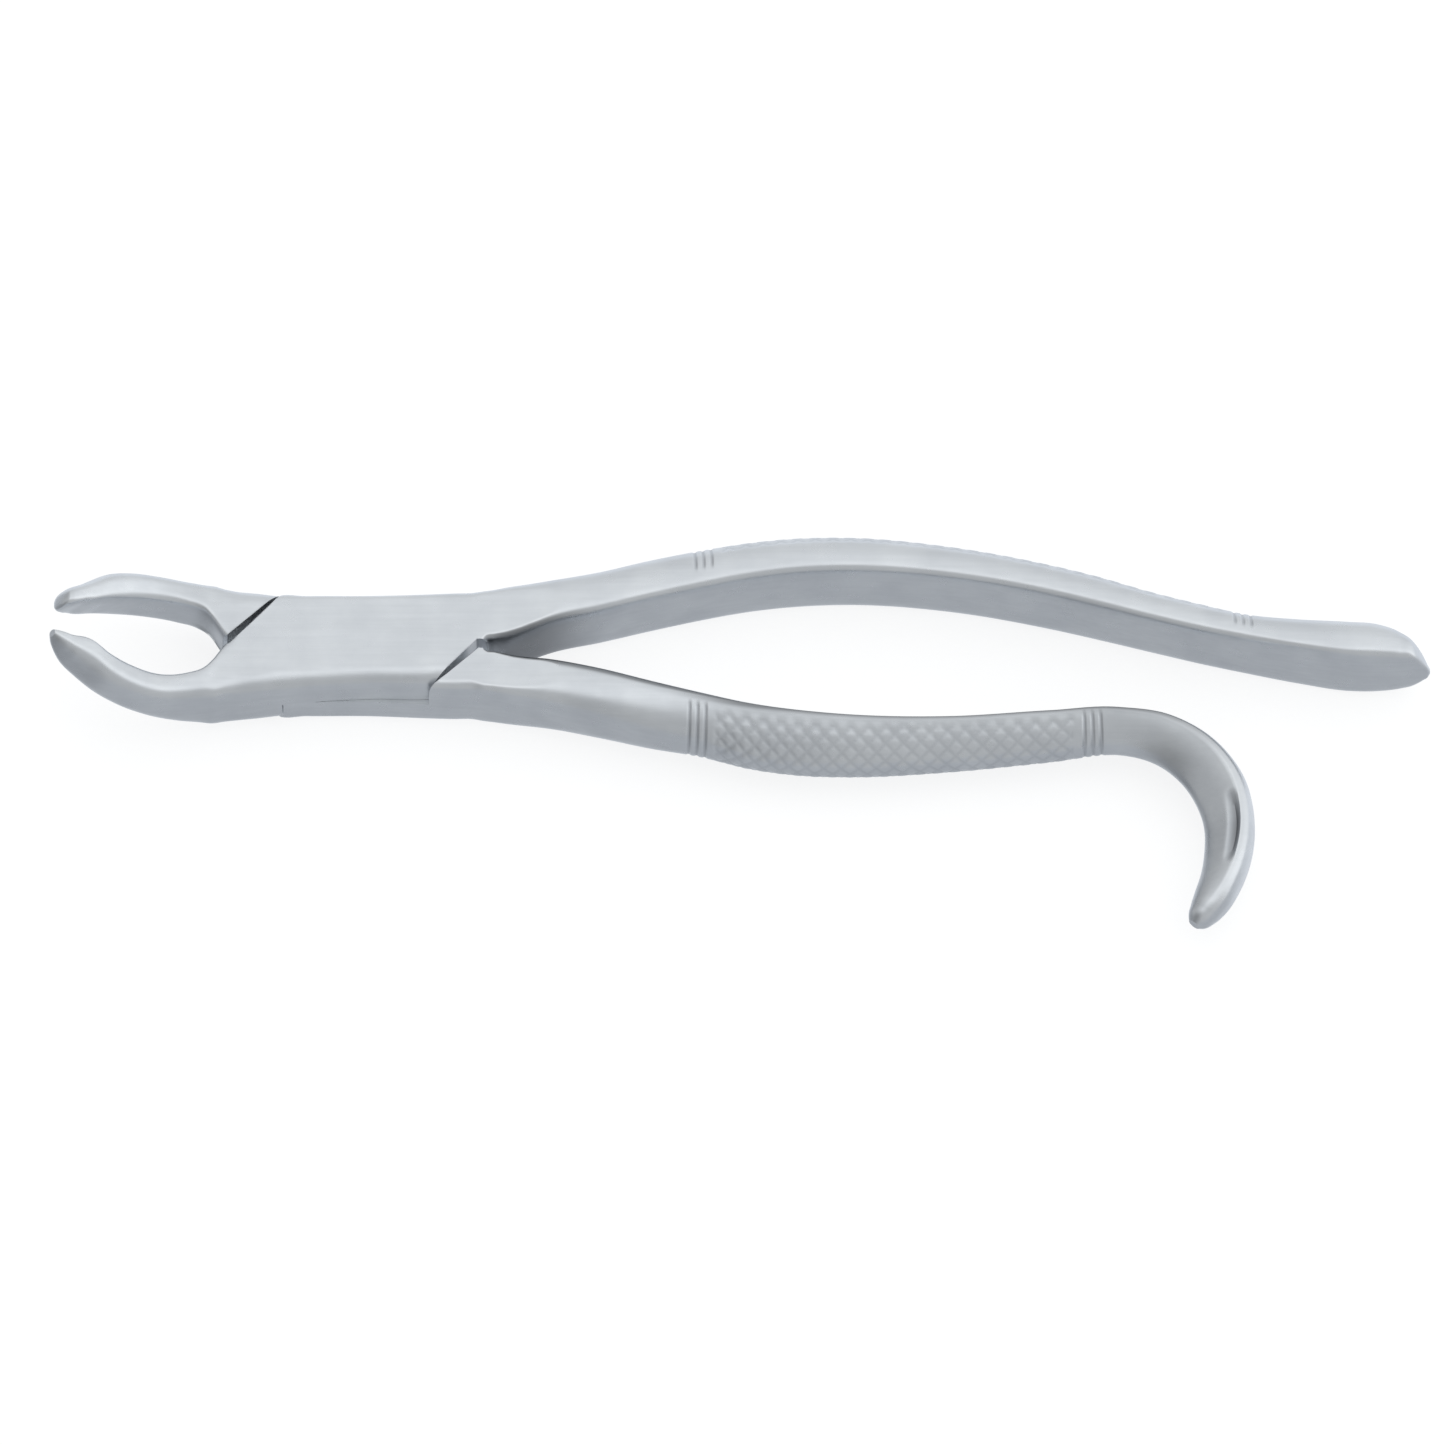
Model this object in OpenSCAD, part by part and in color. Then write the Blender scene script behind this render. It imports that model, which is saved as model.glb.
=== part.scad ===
// Dental extraction forceps for lower molars, with one hooked handle.
// Two forged halves cross in a lap joint and turn on a pivot screw.
// +X runs from the pivot to the handles, +Y is the side of the straight handle.
// +Z is the pivot axis; z = 0 is the joint's rear face, which lies on the table.

/* [Opening] */
// Angle between the halves at rest, 0 is closed
rest_opening = 4.4; // [0:0.1:60]

/* [Joint] */
// Width of the joint across the plates
joint_width = 12.8; // [11:0.1:15]
// Depth of both plates together, along the pivot axis
joint_depth = 9.6; // [8:0.1:12]
// Distance from the pivot to the slanting shoulders
shoulder_reach = 11.7; // [11:0.1:13]
// Gap between a plate's edge and the shoulder when closed
shoulder_gap = 0.2; // [0.1:0.05:0.5]
// Gap between the two plates
lap_gap = 0.04; // [0.02:0.01:0.1]

/* [Beaks] */
// Distance from the pivot to the beak tips
beak_length = 39.1; // [34:0.1:46]
// How far the beak tips rise above the joint's middle plane
beak_rise = 11; // [7:0.1:14]
// Half thickness of a beak at its middle
beak_half = 2; // [1.6:0.1:2.8]

/* [Handles] */
// Distance from the pivot to the end of the straight handle
straight_length = 138.65; // [120:0.05:160]
// Distance from the pivot to the start of the hook
hook_start = 99.1; // [85:0.1:110]
// Half depth of the handles at the palm swell
grip_half_depth = 5.4; // [4.8:0.1:6]
// Radius of the hook's main bend, on its centre line
hook_r = 14.15; // [11:0.05:18]
// Radius of the hook's last, flatter bend
hook_tip_r = 21.5; // [20:0.5:40]
// Angle of the last bend
hook_tip_turn = 38.5; // [25:0.1:45]

/* [Grip grooves] */
// Depth of the transverse grooves that end the knurled grip
groove_depth = 0.25; // [0.1:0.05:0.6]
// Distance between neighbouring grooves
groove_pitch = 1.05; // [0.9:0.05:2]

/* [Pivot screw] */
// Head radius
head_r = 3.8; // [3:0.1:4.2]
// Head thickness
head_h = 1.5; // [1:0.1:2]
// Radius of the smooth shoulder that the hooked half turns on
shank_r = 2.6; // [2:0.05:3]
// Radius of the threaded end
thread_r = 2; // [1.5:0.05:2.4]
// Length of the threaded end
thread_length = 3.2; // [2.5:0.1:3.6]
// Width of the driver slot
slot_width = 0.9; // [0.6:0.1:1.2]
// Running clearance on the radius
running_gap = 0.05; // [0.02:0.01:0.1]

/* [Hidden] */
half_w = joint_width / 2;
half_d = joint_depth / 2;
// Where the shoulder's slanting plane and the plate's edge meet the middle line
crotch = shoulder_reach * sqrt(2);
edge = crotch - shoulder_gap * sqrt(2);
// Where each handle's inner side starts, across from the middle line
straight_part = -0.6;
hook_part = 0.7;
// Points round each cross-section
around = 24;
// The stations below are drawn for these sizes and scaled from them
drawn_beak = 39.1;
drawn_rise = 11;
drawn_half = 2;
drawn_length = 138.65;
drawn_depth = 5.4;
beak_k = beak_length / drawn_beak;
rise_k = beak_rise / drawn_rise;
stretch = straight_length / drawn_length;
depth_k = grip_half_depth / drawn_depth;
// Half depth that the joint's cross-sections are cut down from, and one that cuts nothing
plate_b = 5;
no_flat = 5.7;
// Where the beak's tip and its root begin, and where the straight end narrows
point_end = -36.5 * beak_k;
root = -20 * beak_k;
narrowing = 132 * stretch;
straight_end = 138.65 * stretch;
// Where the two bands of grooves start on each handle
straight_bands = [44 * stretch, 113.3 * stretch];
hook_bands = [43.2 * stretch, 94.2 * stretch];
band = 3 * groove_pitch;
// Ends of the parallel part of the plates, and where the handles begin
plate_end = 10;
grip_start = 20;
// Larger than any plate, for the cutting bodies
beyond = 20;
cut_margin = 1.14;
head_recess = 0.1;
slot_depth = 0.8;
hole_spare = 0.4;
thread_chamfer = 0.4;
thread_gap = 0.02;
head_lift = 0.03;

// ---- Stations of a half ----
// A half is drawn closed, with its plate in front, its beak at -X and its handle at +X.
// Each station is one cross-section: distance along the half, the -Y edge (x, y),
// the +Y edge (x, y), height, half depth, flat limit of the half depth, lean,
// squareness of the -Y and +Y sides, the share of the width on the -Y side, the rise
// of the section per millimetre towards +Y, how far its back is raised at the +Y edge,
// and the part of its depth that it loses there.
function section(x, low, high, z, b, flat, lean, n_low, n_high, share, skew = 0, relief = 0,
        thin = 0) =
    [x, x, low, x, high, z, b, flat, lean, n_low, n_high, share, skew, relief, thin];

function beak(x, mid, half, z, b, lean, skew, relief, n_out, n_in) =
    let (t = half * beak_half / drawn_half)
    section(x * beak_k, mid - t, mid + t, z * rise_k, b, no_flat, lean, n_out, n_in, 0.5,
        skew, relief);

// The straight half's beak ends in a point, the hooked half's is blunter
pointed_rows = [
    beak(-39.1, -0.95, 0.45, 10.95, 0.6, 38, 0, 0, 2.2, 2.2),
    beak(-38.8, -1.25, 0.7, 10.6, 1.05, 38, 0, 0, 2.3, 2.6),
    beak(-38.2, -1.75, 1, 10, 1.6, 37, 0.06, 0, 2.5, 3.2),
    beak(-37.6, -2.15, 1.2, 9.4, 2, 37, 0.04, 0, 2.5, 3.6),
    beak(-37.1, -2.4, 1.4, 8.95, 2.3, 36, 0.02, 0, 2.5, 4),
    beak(-36.5, -2.6, 1.65, 8.5, 2.55, 36, 0, 0, 2.5, 4.2),
    beak(-35.5, -3.05, 1.95, 7.85, 2.8, 34, 0, 0, 2.4, 4.2)
];

blunt_rows = [
    beak(-38.15, -1.3, 0.6, 10.2, 0.9, 38, 0, 0, 2.2, 2.2),
    beak(-38, -1.4, 1, 10.05, 1.5, 38, 0, 0, 2.3, 2.4),
    beak(-37.7, -1.65, 1.3, 9.75, 1.95, 37, 0.04, 0, 2.4, 2.8),
    beak(-37.2, -2, 1.45, 9.3, 2.25, 37, 0.04, 0, 2.5, 3.4),
    beak(-36.7, -2.35, 1.5, 8.8, 2.5, 36, 0.02, 0, 2.5, 3.8),
    beak(-36.2, -2.7, 1.55, 8.4, 2.65, 36, 0, 0, 2.5, 4),
    beak(-35.5, -3.15, 1.75, 7.85, 2.8, 34, 0, 0, 2.4, 4.2)
];
pointed_end = pointed_rows[0][0];
blunt_end = blunt_rows[0][0];

beak_rows = [
    beak(-33, -4.62, 2.12, 6.35, 3, 31, -0.1, 0, 2.3, 4),
    beak(-30.3, -5.62, 2.17, 4.75, 3.1, 27, -0.12, 0, 2.3, 4),
    beak(-26.5, -6.25, 2.1, 2.85, 3.3, 21, -0.04, 0.4, 2.4, 4),
    beak(-22.6, -6.02, 2.17, 1.5, 3.85, 13, 0.1, 1.8, 2.7, 4.4),
    beak(-20, -5.44, 2.49, 0.85, 4.3, 8, 0.1, 3.4, 3.1, 5),
    beak(-18.6, -4.78, 3.08, 0.45, 4.5, 4, 0.05, 4.6, 3.6, 6),
    section(-17.3, -7.45, -0.1, 0.15 * rise_k, 4.72, 4.9, 1.5, 4.2, 7, 0.5, 0, 4)
];

joint_rows = [
    section(-15.5, -7.3, 1.8, 0, 4.82, half_d, 0, 4, 8, 0.5, 0, 2),
    section(-13, -7.1, 4.4, 0, plate_b, half_d, 0, 4.2, 9, 0.5, 0, 1),
    section(-10, -half_w - 0.45, half_w + 0.6, 0, plate_b, half_d, 0, 4.4, 9, 0.5),
    section(-6, -half_w - 0.15, half_w + 0.55, 0, plate_b, half_d, 0, 4.8, 9, 0.5),
    section(2, -half_w, half_w + 0.25, 0, plate_b, half_d, 0, 4.8, 9, 0.5)
];

function grip(x, low, high, b, n_low, n_high, share, thin = 0) =
    section(x * stretch, low, high, 0, b * depth_k, no_flat, 0, n_low, n_high, share, 0, 0,
        thin);

straight_rows = [
    section(10, -half_w - 0.2, half_w + 0.25, 0, plate_b, half_d, 0, 4.6, 8, 0.5),
    section(13, -6.1, half_w + 0.35, 0, plate_b, half_d, 0, 4.8, 7, 0.5),
    section(15.5, -2.9, 6.85, 0, plate_b, half_d, 0, 6, 5.5, 0.48),
    section(16.7, -0.85, 6.97, 0, plate_b, half_d, 0, 7, 5.2, 0.47),
    section(18, -0.6, 7.17, 0, plate_b, half_d, 0, 6.5, 4.9, 0.46),
    section(20, -0.35, 7.57, 0, 5.05, half_d + 0.02, 0, 5.4, 4.5, 0.45),
    section(22.7, 0.5, 8.02, 0, 5.08, half_d + 0.1, 0, 5, 4, 0.42),
    section(25.4, 1.45, 8.5, 0, 5.1, 5, 0, 4.8, 3.6, 0.4),
    grip(31.8, 2.75, 9.7, 5.15, 4.6, 3, 0.36),
    grip(38.4, 4.25, 11.3, 5.2, 4.6, 2.7, 0.33),
    grip(44.9, 5.47, 12.6, 5.2, 4, 2.5, 0.32),
    grip(51.4, 6.57, 13.55, 5.3, 4, 2.4, 0.32),
    grip(57.8, 7.12, 14, 5.4, 4, 2.3, 0.32),
    grip(64.3, 7.12, 13.85, 5.4, 4, 2.3, 0.32),
    grip(77.2, 5.62, 12, 5.4, 4, 2.3, 0.32),
    grip(90, 2.62, 8.85, 5.4, 4, 2.3, 0.32),
    grip(96.3, 0.72, 6.9, 5.3, 4, 2.3, 0.32),
    grip(102.7, -1.28, 4.5, 5.2, 4, 2.3, 0.32),
    grip(109.1, -3.23, 2.4, 5.2, 4, 2.3, 0.32),
    grip(115.5, -4.93, 0.4, 5.3, 4, 2.4, 0.32),
    grip(121.9, -6.4, -0.6, 5.5, 5, 2.5, 0.33),
    grip(128.3, -7.8, -1.25, 5.6, 4.5, 2.6, 0.36),
    grip(132.2, -8.15, -1.75, 5.4, 4, 2.6, 0.38),
    grip(134.8, -8.15, -2.75, 4.9, 3.6, 2.4, 0.4),
    grip(136.6, -8.05, -4.1, 4.1, 3.2, 2.2, 0.42),
    grip(137.8, -8.1, -5.7, 2.3, 2.8, 2, 0.48),
    grip(138.4, -8, -7, 1.2, 2.4, 2, 0.5),
    grip(138.65, -7.75, -7.35, 0.5, 2, 2, 0.5)
];

hook_rows = [
    section(10, -half_w - 0.2, half_w + 0.35, 0, plate_b, half_d, 0, 4.6, 8, 0.5),
    section(13, -6.1, half_w + 0.4, 0, plate_b, half_d, 0, 4.8, 7, 0.5),
    section(15.5, -2.2, 6.8, 0, plate_b, half_d, 0, 6, 5.5, 0.48),
    section(16.7, 0.45, 6.93, 0, plate_b, half_d, 0, 7, 5.2, 0.47),
    section(18, 0.72, 7.1, 0, plate_b, half_d, 0, 6.5, 4.9, 0.46),
    section(20, 0.95, 7.45, 0, 5.05, half_d + 0.02, 0, 4.8, 4.2, 0.45),
    section(25.4, 1.35, 8.25, 0, 5.1, 5, 0, 4.2, 3.2, 0.4),
    grip(31.8, 2.4, 9.6, 5.15, 3.8, 2.8, 0.36, 0.04),
    grip(38.4, 3.95, 11.15, 5.2, 3.4, 2.6, 0.32, 0.14),
    grip(44.9, 5.45, 12.35, 5.2, 3, 2.6, 0.26, 0.28),
    grip(51.4, 6.9, 14.1, 5.3, 2.6, 2.6, 0.18, 0.4),
    grip(57.8, 7.9, 14.85, 5.4, 2.4, 2.6, 0.12, 0.42),
    grip(64.3, 8.35, 14.85, 5.3, 2.4, 2.6, 0.1, 0.42),
    grip(77.2, 7.95, 13.65, 4.9, 2.4, 2.6, 0.1, 0.42),
    grip(90, 6.4, 11.75, 4.6, 2.4, 2.6, 0.12, 0.42)
];

// The hook: an arc of a quarter turn, then a flatter one, seen along the centre line
hook_y = 7.88;
hook_lead = -2.2;
bend_end = hook_lead + 90;

// Distance along the half of the point where the centre line has turned to angle a
function bend_s(a) = hook_start
    + (hook_r * (min(a, bend_end) - hook_lead) + hook_tip_r * max(0, a - bend_end)) * PI / 180;

function bend_mid(a) =
    let (m = min(a, bend_end), t = max(a, bend_end))
    [hook_start + hook_r * (sin(m) - sin(hook_lead)) + hook_tip_r * (sin(t) - sin(bend_end)),
     hook_y + hook_r * (cos(hook_lead) - cos(m)) + hook_tip_r * (cos(bend_end) - cos(t))];

function hook_section(a, half, b, n, share, thin) =
    let (m = bend_mid(a), side = [-sin(a), cos(a)] * half)
    [bend_s(a), m[0] - side[0], m[1] - side[1], m[0] + side[0], m[1] + side[1],
     0, b, no_flat, 0, n, n, share, 0, 0, thin];

// The same, on the last bend, at a part of its turn
function tip_section(part, half, b, n, share, thin) =
    hook_section(bend_end + part * hook_tip_turn, half, b, n, share, thin);

hook_bend = [
    hook_section(hook_lead, 2.42, 4.5, 2.5, 0.16, 0.42),
    hook_section(20, 2.85, 4.4, 2.5, 0.2, 0.45),
    hook_section(42, 3.3, 4.3, 2.5, 0.25, 0.5),
    hook_section(64, 3.5, 4.1, 2.5, 0.28, 0.5),
    hook_section(bend_end, 3.25, 3.7, 2.4, 0.29, 0.5),
    tip_section(0.21, 3.1, 3.5, 2.4, 0.3, 0.45),
    tip_section(0.5, 2.72, 3.2, 2.4, 0.33, 0.35),
    tip_section(0.73, 2.35, 2.7, 2.4, 0.4, 0.2),
    tip_section(0.86, 1.9, 2.2, 2.3, 0.46, 0.1),
    tip_section(0.96, 1.3, 1.4, 2.2, 0.5, 0),
    tip_section(1, 0.8, 0.7, 2, 0.5, 0)
];
hook_end = bend_s(bend_end + hook_tip_turn);
hook_round = 2.2;

// A station of the other beak, which curves the opposite way in this view
function flip(r) = [for (k = [0:len(r) - 1]) search(k, [5, 8, 12, 13]) == [] ? r[k] : -r[k]];

// ---- Smooth curve through the stations ----
function slope(rows, i) = i == 0 ? (rows[1] - rows[0]) / (rows[1][0] - rows[0][0])
    : i == len(rows) - 1 ? (rows[i] - rows[i - 1]) / (rows[i][0] - rows[i - 1][0])
    : let (d0 = rows[i][0] - rows[i - 1][0], d1 = rows[i + 1][0] - rows[i][0])
        ((rows[i] - rows[i - 1]) * d1 / d0 + (rows[i + 1] - rows[i]) * d0 / d1) / (d0 + d1);

function find(rows, s, i = 0) =
    i >= len(rows) - 2 || s < rows[i + 1][0] ? i : find(rows, s, i + 1);

function station(rows, s) =
    let (i = find(rows, s), d = rows[i + 1][0] - rows[i][0], u = (s - rows[i][0]) / d)
    rows[i] * (2 * u * u * u - 3 * u * u + 1)
        + slope(rows, i) * d * (u * u * u - 2 * u * u + u)
        + rows[i + 1] * (3 * u * u - 2 * u * u * u)
        + slope(rows, i + 1) * d * (u * u * u - u * u);

// One cross-section: a rounded box whose two sides have their own squareness
function ring(r, inset) =
    let (span = [r[3] - r[1], r[4] - r[2]], wide = norm(span), side = span / wide,
         base = [r[1], r[2]] + span * r[11], lean = r[8])
    [for (j = [0:around - 1])
        let (a = 360 * j / around, c = cos(a), n = c < 0 ? r[9] : r[10],
             reach = (c < 0 ? -r[11] : 1 - r[11]) * wide - (c < 0 ? 0 : inset),
             across = reach * pow(abs(c), 2 / n),
             inner = max(0, across) / (wide * (1 - r[11])),
             b = (r[6] - inset / 2) * (1 - r[14] * inner),
             deep = sign(sin(a)) * min(b * pow(abs(sin(a)), 2 / n), r[7]),
             lift = r[13] * inner * max(0, -sign(r[13]) * deep) / r[6])
        [base[0] + side[0] * across + side[1] * deep * sin(lean),
         base[1] + side[1] * across - side[0] * deep * sin(lean),
         r[5] + deep * cos(lean) + r[12] * across + lift]];

// ---- Where the cross-sections stand ----
function spread(a, b, step) =
    let (n = max(1, round((b - a) / step)))
    [for (i = [0:n - 1]) [a + (b - a) * i / n, 0]];

// Three grooves side by side from position s: the two edges and the bottom of each
groove_half = 0.3 * groove_pitch;
function grooves(s) = [for (i = [0:2], k = [0:2])
    [s + i * groove_pitch + k * groove_half, k == 1 ? groove_depth : 0]];

module loft(rows, places) {
    rings = [for (p = places) ring(station(rows, p[0]), p[1])];
    last = len(rings) - 1;
    points = [for (r = rings, p = r) p];
    sides = [for (i = [0:last - 1], j = [0:around - 1], half = [0, 1])
        let (a = i * around + j, b = i * around + (j + 1) % around)
        half == 0 ? [a, b, b + around] : [a, b + around, a + around]];
    ends = [[for (j = [0:around - 1]) around - 1 - j],
            [for (j = [0:around - 1]) last * around + j]];
    polyhedron(points, concat(sides, ends), convexity = 8);
}

// ---- Cuts ----
// The plan of what the other half's shoulder takes off a plate's corner. Next to the
// handle it ends at y = part_y, where the two handles part.
module shoulder_plan(part_y) {
    apex = min(edge + part_y, crotch - part_y - lap_gap);
    polygon([[apex, part_y], [apex, apex - edge], [edge - beyond, -beyond],
        [edge + cut_margin, -beyond], [edge + cut_margin, part_y]]);
}

// The space for the other half: its plate behind, and its shoulders at the corners
module lap_space(part_y) {
    rotate(45)
        translate([-shoulder_reach, -beyond, -beyond])
            cube([2 * shoulder_reach, 2 * beyond, beyond + lap_gap / 2]);
    for (corner = [[0, part_y], [180, 0]])
        rotate(corner[0])
            translate([0, 0, -beyond])
                linear_extrude(2 * beyond)
                    shoulder_plan(corner[1]);
}

// Spacing of the cross-sections: at a tip, at the round ends of the handles, at the joint's
// shoulders, along a beak, round the hook, on the handles and on the flat plates
tip_step = 0.28;
end_step = 0.6;
joint_step = 0.85;
beak_step = 1.3;
bend_step = 1.9;
grip_step = 2.6;
plate_step = 5;

// From a beak's tip to the start of its handle
function front_places(tip) = concat(spread(tip, point_end, tip_step),
    spread(point_end, root, beak_step), spread(root, -plate_end, joint_step),
    spread(-plate_end, plate_end, plate_step), spread(plate_end, grip_start, joint_step));

// A handle up to the end of its second band of grooves
function grip_places(b) = concat(spread(grip_start, b[0], grip_step), grooves(b[0]),
    spread(b[0] + band, b[1], grip_step), grooves(b[1]));

// ---- The pieces ----
module straight_half() {
    rows = concat(pointed_rows, beak_rows, joint_rows, straight_rows);
    places = concat(front_places(pointed_end), grip_places(straight_bands),
        spread(straight_bands[1] + band, narrowing, grip_step),
        spread(narrowing, straight_end, end_step), [[straight_end, 0]]);
    color("Silver")
        translate([0, 0, half_d])
            rotate(rest_opening / 2)
                difference() {
                    loft(rows, places);
                    lap_space(straight_part);
                    cylinder(r = thread_r + thread_gap, h = thread_length + hole_spare, $fn = 64);
                }
}

module hook_half() {
    flipped = [for (r = concat(blunt_rows, beak_rows, joint_rows)) flip(r)];
    rows = concat(flipped, hook_rows, hook_bend);
    places = concat(front_places(blunt_end), grip_places(hook_bands),
        spread(hook_bands[1] + band, hook_start, grip_step),
        spread(hook_start, hook_end - hook_round, bend_step),
        spread(hook_end - hook_round, hook_end, end_step), [[hook_end, 0]]);
    color("Silver")
        translate([0, 0, half_d])
            rotate(-rest_opening / 2)
                rotate([180, 0, 0])
                    difference() {
                        loft(rows, places);
                        lap_space(hook_part);
                        cylinder(r = shank_r + running_gap, h = 2 * joint_depth,
                            center = true, $fn = 64);
                        translate([0, 0, half_d - head_recess - head_h])
                            cylinder(r = head_r + running_gap, h = joint_depth, $fn = 64);
                    }
}

module pivot_screw() {
    shank_end = half_d + lap_gap / 2;
    under_head = head_recess + head_h - head_lift;
    color("DimGray")
        difference() {
            union() {
                translate([0, 0, head_recess])
                    cylinder(r = head_r, h = head_h - head_lift, $fn = 64);
                translate([0, 0, under_head])
                    cylinder(r = shank_r, h = shank_end - under_head, $fn = 64);
                translate([0, 0, shank_end])
                    cylinder(r = thread_r, h = thread_length - thread_chamfer, $fn = 64);
                translate([0, 0, shank_end + thread_length - thread_chamfer])
                    cylinder(r1 = thread_r, r2 = thread_r - thread_chamfer,
                        h = thread_chamfer, $fn = 64);
            }
            rotate(35)
                translate([-2 * head_r, -slot_width / 2, -1])
                    cube([4 * head_r, slot_width, 1 + head_recess + slot_depth]);
        }
}

straight_half();
hook_half();
pivot_screw();
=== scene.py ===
"""Looks of the extraction forceps: two forged steel halves in a lap joint, and their pivot screw.

Each half is a dense loft through the same cross-sections that the design uses. It is built in the
half's own frame, in millimetres, with the beak at -X and the handle at +X, drawn closed and with
its plate in front. Then it is cut at the joint, turned to its rest angle and scaled to metres.
"""

import math

import bpy
import numpy as np
from mathutils import Matrix, Vector


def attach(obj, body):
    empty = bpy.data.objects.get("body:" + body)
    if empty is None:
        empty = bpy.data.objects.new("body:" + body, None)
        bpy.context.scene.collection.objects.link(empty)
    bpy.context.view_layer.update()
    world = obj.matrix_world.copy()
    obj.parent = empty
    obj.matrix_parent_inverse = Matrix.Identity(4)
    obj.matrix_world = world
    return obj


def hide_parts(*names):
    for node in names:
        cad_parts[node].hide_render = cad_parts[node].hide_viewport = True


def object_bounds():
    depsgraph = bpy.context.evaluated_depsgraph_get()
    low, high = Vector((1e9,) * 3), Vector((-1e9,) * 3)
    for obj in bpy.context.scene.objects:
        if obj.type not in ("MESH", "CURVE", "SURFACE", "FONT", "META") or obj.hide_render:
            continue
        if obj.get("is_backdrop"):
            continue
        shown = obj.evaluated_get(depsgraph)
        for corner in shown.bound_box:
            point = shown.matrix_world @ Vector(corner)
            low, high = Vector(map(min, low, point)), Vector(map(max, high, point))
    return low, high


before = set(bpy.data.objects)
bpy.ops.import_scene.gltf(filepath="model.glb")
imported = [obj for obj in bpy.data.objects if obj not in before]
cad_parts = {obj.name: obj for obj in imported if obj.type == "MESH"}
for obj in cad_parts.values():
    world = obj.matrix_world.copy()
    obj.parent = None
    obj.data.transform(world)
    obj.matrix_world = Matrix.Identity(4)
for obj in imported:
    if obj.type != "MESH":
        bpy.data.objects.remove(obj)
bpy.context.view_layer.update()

# ---------------------------------------------------------------- sizes, in millimetres
MM = 0.001
ROOT2 = math.sqrt(2)

# The joint: half depth of both plates together, half the angle at rest, and the distance from the
# pivot to the slanting shoulders, with the gaps and the chamfer at their edges.
HALF_DEPTH = 4.8
REST_ANGLE = 2.2
SHOULDER_REACH = 11.7
SHOULDER_GAP = 0.2
LAP_GAP = 0.03
EDGE_CHAMFER = 0.1

# Where the two halves part, across from the middle line: at the handles and behind the beaks.
STRAIGHT_PART = -0.6
HOOK_PART = 0.7
BEAK_PART = 0.015

# Half depth that the plates are cut down from, and a limit to the half depth that cuts nothing.
PLATE_B = 5.0
NO_FLAT = 5.7

# Cutting bodies: how far they reach past everything, past the shoulders and past the faces.
BEYOND = 20.0
CUT_MARGIN = 1.14
CUT_ABOVE = 1.0
CUT_FLARE = 4.0

# Distances along the halves. The beaks' ends differ, and the bands are where grooves start.
POINTED_END = -39.1
BLUNT_END = -38.15
HANDLE_START = 20
STRAIGHT_BANDS = (44, 113.3)
STRAIGHT_NARROWS = 132
STRAIGHT_END = 138.65
HOOK_BANDS = (43.2, 94.2)

# The hook: the start, radius and angles of its main bend and of the flatter bend at its tip.
HOOK_START = 99.1
HOOK_Y = 7.88
HOOK_R = 14.15
HOOK_TIP_R = 21.5
HOOK_LEAD = -2.2
BEND_END = HOOK_LEAD + 90
HOOK_TIP_TURN = 38.5

# Worked detail. GROOVE_FIRST is the first groove's place in its band, in pitches. The palm side
# goes from 0 to 1 at its edge: GROOVE_PALM is where the grooves begin on it and where they are
# full, and STRAIGHT_KNURL and HOOK_KNURL are where the knurling begins.
GROOVE_PITCH = 1.05
GROOVE_COUNT = 3
GROOVE_FIRST = 0.3
GROOVE_HALF_WIDTH = 0.36 * GROOVE_PITCH
GROOVE_DEPTH = 0.14
GROOVE_PALM = (0.03, 0.22)
KNURL_PITCH = 1.6
KNURL_DEPTH = 0.1
KNURL_WIDTH = 0.9
KNURL_FADE = 0.5
KNURL_PALM_FADE = 0.12
STRAIGHT_KNURL = 0.5
HOOK_KNURL = 0.14
CRESCENT_AT = 122.0
CRESCENT_REACH = 5.2
CRESCENT_DEPTH = 0.6
CRESCENT_PALM = 0.17
CRESCENT_PALM_REACH = 0.2

# Painted shade on the inner sides: where it begins and fades out along each half, and the pairs of
# how far the surface must face inward. The hooked handle has it on its rim, less on its flat side.
PAINTED_SHADE_START = (14, 20)
STRAIGHT_PAINTED_SHADE_END = (22, 34)
HOOK_PAINTED_SHADE_END = (98, 116)
INNER_SIDE = (0.35, 0.7)
INNER_EDGE = (0.05, 0.35)
FLAT_SIDE = (0.85, 0.98)
FLAT_SIDE_LESS = 0.8
RIM_PALM = (0.02, 0.1)
RIM_START = (38, 52)

# Edges lighter from wear and a painted highlight: the curvature, per millimetre, at which this
# begins and is full, and the shortest step that it is measured over.
WEAR_AND_HIGHLIGHT_CURVES = (0.4, 1.4)
SHORTEST = 0.02

# The pivot screw and its holes. THREAD_STEPS is the number of rings in one turn of the thread.
SHANK_R = 2.6
HEAD_R = 3.8
HEAD_H = 1.5
HEAD_RECESS = 0.1
HEAD_LIFT = 0.03
RUNNING_GAP = 0.05
THREAD_R = 2.0
THREAD_PITCH = 0.7
THREAD_DEPTH = 0.3
THREAD_LENGTH = 3.2
THREAD_END_R = 1.3
THREAD_STEPS = 12
HOLE_DEPTH = 3.6
HOLE_GAP = 0.02
HOLE_MOUTH = 0.02
HOLE_CHAMFER = 0.25
BORE_CHAMFER = 0.3
SEAT_CHAMFER = 0.2
SLOT_HALF = 0.45
SLOT_DEPTH = 0.8
SLOT_CHAMFER = 0.1
SLOT_ANGLE = 35

# Points in one eighth of a cross-section and round a turned part, and steps along a half. They
# are closer at its ends, and at the bands, from BAND_BEFORE to BAND_AFTER of each band's start.
SIDE_STEPS = 16
ROUND_STEPS = 96
BAND_STEP = 0.08
BAND_BEFORE = 0.2
BAND_AFTER = 3.4
END_STEP = 0.1
GRIP_STEP = 0.25
HOOK_STEP = 0.4
HANDLE_STEP = 0.5


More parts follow.
